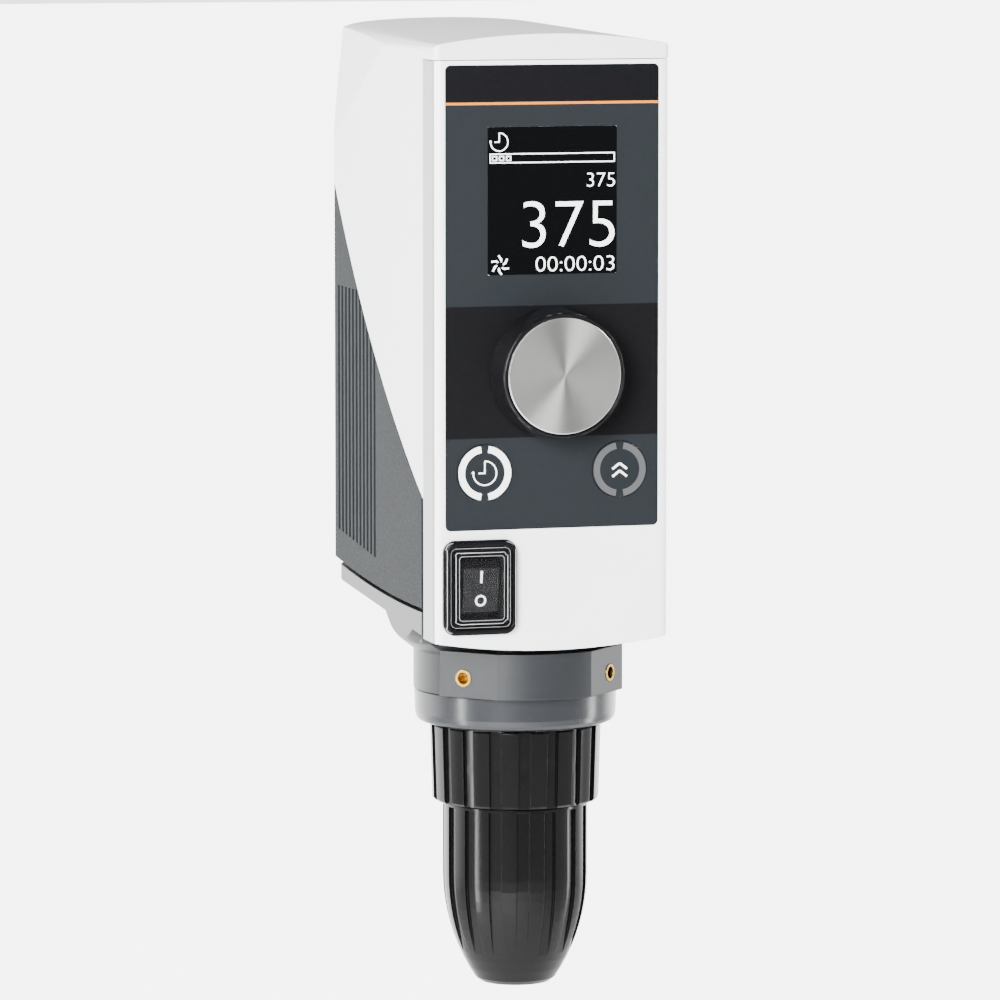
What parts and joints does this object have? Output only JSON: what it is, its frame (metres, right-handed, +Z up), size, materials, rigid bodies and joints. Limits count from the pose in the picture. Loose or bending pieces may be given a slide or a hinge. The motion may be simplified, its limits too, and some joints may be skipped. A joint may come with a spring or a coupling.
{
  "type": "laboratory overhead stirrer",
  "caption": "Slim upright laboratory overhead stirrer head with display, speed knob, mains rocker switch, rear rod socket and a keyless chuck on a hollow spindle below.",
  "frame": {"origin": "mouth of the threaded socket for the support rod, in the middle of the back", "axes": "+Y out of the back along the support rod, +Z up along the spindle, +X to the right seen from the front"},
  "size_m": [0.084, 0.1569, 0.3372],
  "materials": {
    "white_plastic": "satin white moulding",
    "grey_plastic": "fine matt grey moulding",
    "panel_film": "matt printed film",
    "black_plastic": "semi-gloss black",
    "window": "dark glossy window",
    "clear_boot": "clear soft silicone",
    "casting": "painted die casting",
    "bright_steel": "machined steel",
    "spun_aluminium": "circular brushed",
    "brass": "machined brass",
    "rubber": "matt rubber",
    "circuit": "coated circuit board",
    "gear_plastic": "natural gear plastic",
    "dark_steel": "black oxide",
    "copper": "enamelled winding",
    "sheet_steel": "zinc plated sheet",
    "bare_casting": "bare casting"
  },
  "bodies": {
    "head": {"top_cover": "white_plastic", "rear_housing": "grey_plastic", "front_fascia": "white_plastic", "control_panel": "panel_film", "display_window": "window", "display_module": "dark_steel", "display_board": "circuit", "key_switches": "bright_steel", "encoder_body": "black_plastic", "switch_seal": "rubber", "switch_body": "black_plastic", "switch_boot": "clear_boot", "drive_casting": "casting", "rod_bush": "bright_steel", "thread_inserts": "brass", "collar_ring": "casting", "shaft_seal": "rubber", "lower_bearing_outer": "bright_steel", "upper_bearing_outer": "bright_steel", "gear_plate": "bare_casting", "plate_screws": "dark_steel", "motor_can": "dark_steel", "motor_stator": "copper", "motor_bearings": "bright_steel", "board_bracket": "sheet_steel", "drive_board": "circuit", "power_board": "circuit", "power_inlet": "black_plastic", "inlet_screws": "dark_steel", "housing_screws": "dark_steel", "casting_screws": "dark_steel"},
    "encoder_push": {"encoder_plunger": "brass"},
    "speed_knob": {"encoder_shaft": "bright_steel", "knob_skirt": "black_plastic", "knob_cap": "spun_aluminium"},
    "timer_key": {"timer_button": "panel_film"},
    "max_key": {"max_button": "panel_film"},
    "rocker": {"switch_rocker": "black_plastic"},
    "spindle_unit": {"spindle": "bright_steel", "lower_bearing_inner": "bright_steel", "upper_bearing_inner": "bright_steel", "spindle_gear": "gear_plastic", "spindle_spacer": "bright_steel", "retaining_ring": "dark_steel", "upper_sleeve": "black_plastic", "chuck_body": "bright_steel"},
    "lower_balls": {"lower_bearing_balls": "bright_steel"},
    "upper_balls": {"upper_bearing_balls": "bright_steel"},
    "motor_unit": {"motor_rotor": "bright_steel", "motor_pinion": "gear_plastic"},
    "chuck_sleeve": {"lower_sleeve": "black_plastic", "jaw_nut": "brass"},
    "jaw_1": {"chuck_jaw_1": "dark_steel"},
    "jaw_2": {"chuck_jaw_2": "dark_steel"},
    "jaw_3": {"chuck_jaw_3": "dark_steel"}
  },
  "joints": [
    {"name": "spindle_spin", "type": "hinge", "parent": "head", "child": "spindle_unit", "pos_m": [0, -0.096, -0.05], "axis": [0, 0, 1], "continuous": true},
    {"name": "motor_spin", "type": "hinge", "parent": "head", "child": "motor_unit", "pos_m": [0, -0.054, 0.05], "axis": [0, 0, 1], "continuous": true},
    {"name": "lower_cage_spin", "type": "hinge", "parent": "head", "child": "lower_balls", "pos_m": [0, -0.096, -0.043], "axis": [0, 0, 1], "continuous": true},
    {"name": "upper_cage_spin", "type": "hinge", "parent": "head", "child": "upper_balls", "pos_m": [0, -0.096, 0.03], "axis": [0, 0, 1], "continuous": true},
    {"name": "chuck_sleeve_turn", "type": "hinge", "parent": "spindle_unit", "child": "chuck_sleeve", "pos_m": [0, -0.096, -0.12], "axis": [0, 0, 1], "range_deg": [0, 1440]},
    {"name": "jaw_1_close", "type": "slide", "parent": "spindle_unit", "child": "jaw_1", "axis": [0, 0.2588, -0.9659], "range_m": [0, 0.0139]},
    {"name": "jaw_2_close", "type": "slide", "parent": "spindle_unit", "child": "jaw_2", "axis": [-0.2241, -0.1294, -0.9659], "range_m": [0, 0.0139]},
    {"name": "jaw_3_close", "type": "slide", "parent": "spindle_unit", "child": "jaw_3", "axis": [0.2241, -0.1294, -0.9659], "range_m": [0, 0.0139]},
    {"name": "knob_push", "type": "slide", "parent": "head", "child": "encoder_push", "axis": [0, 1, 0], "range_m": [0, 0.0006], "stiffness_N_per_m": 6000, "springref_m": -0.0002},
    {"name": "knob_spin", "type": "hinge", "parent": "encoder_push", "child": "speed_knob", "pos_m": [0, -0.141, 0.062], "axis": [0, -1, 0], "continuous": true},
    {"name": "timer_button_press", "type": "slide", "parent": "head", "child": "timer_key", "axis": [0, 1, 0], "range_m": [0, 0.0006], "stiffness_N_per_m": 3000, "springref_m": -0.0002},
    {"name": "max_button_press", "type": "slide", "parent": "head", "child": "max_key", "axis": [0, 1, 0], "range_m": [0, 0.0006], "stiffness_N_per_m": 3000, "springref_m": -0.0002},
    {"name": "power_rocker_tilt", "type": "hinge", "parent": "head", "child": "rocker", "pos_m": [-0.0262, -0.1386, -0.0114], "axis": [-1, 0, 0], "range_deg": [0, 16]}
  ],
  "couplings": [
    {"joint": "motor_spin", "follows": "spindle_spin", "ratio": -3},
    {"joint": "lower_cage_spin", "follows": "spindle_spin", "ratio": 0.3815},
    {"joint": "upper_cage_spin", "follows": "spindle_spin", "ratio": 0.3977},
    {"joint": "jaw_1_close", "follows": "chuck_sleeve_turn", "m_per_rad": 0.00055306},
    {"joint": "jaw_2_close", "follows": "chuck_sleeve_turn", "m_per_rad": 0.00055306},
    {"joint": "jaw_3_close", "follows": "chuck_sleeve_turn", "m_per_rad": 0.00055306}
  ]
}
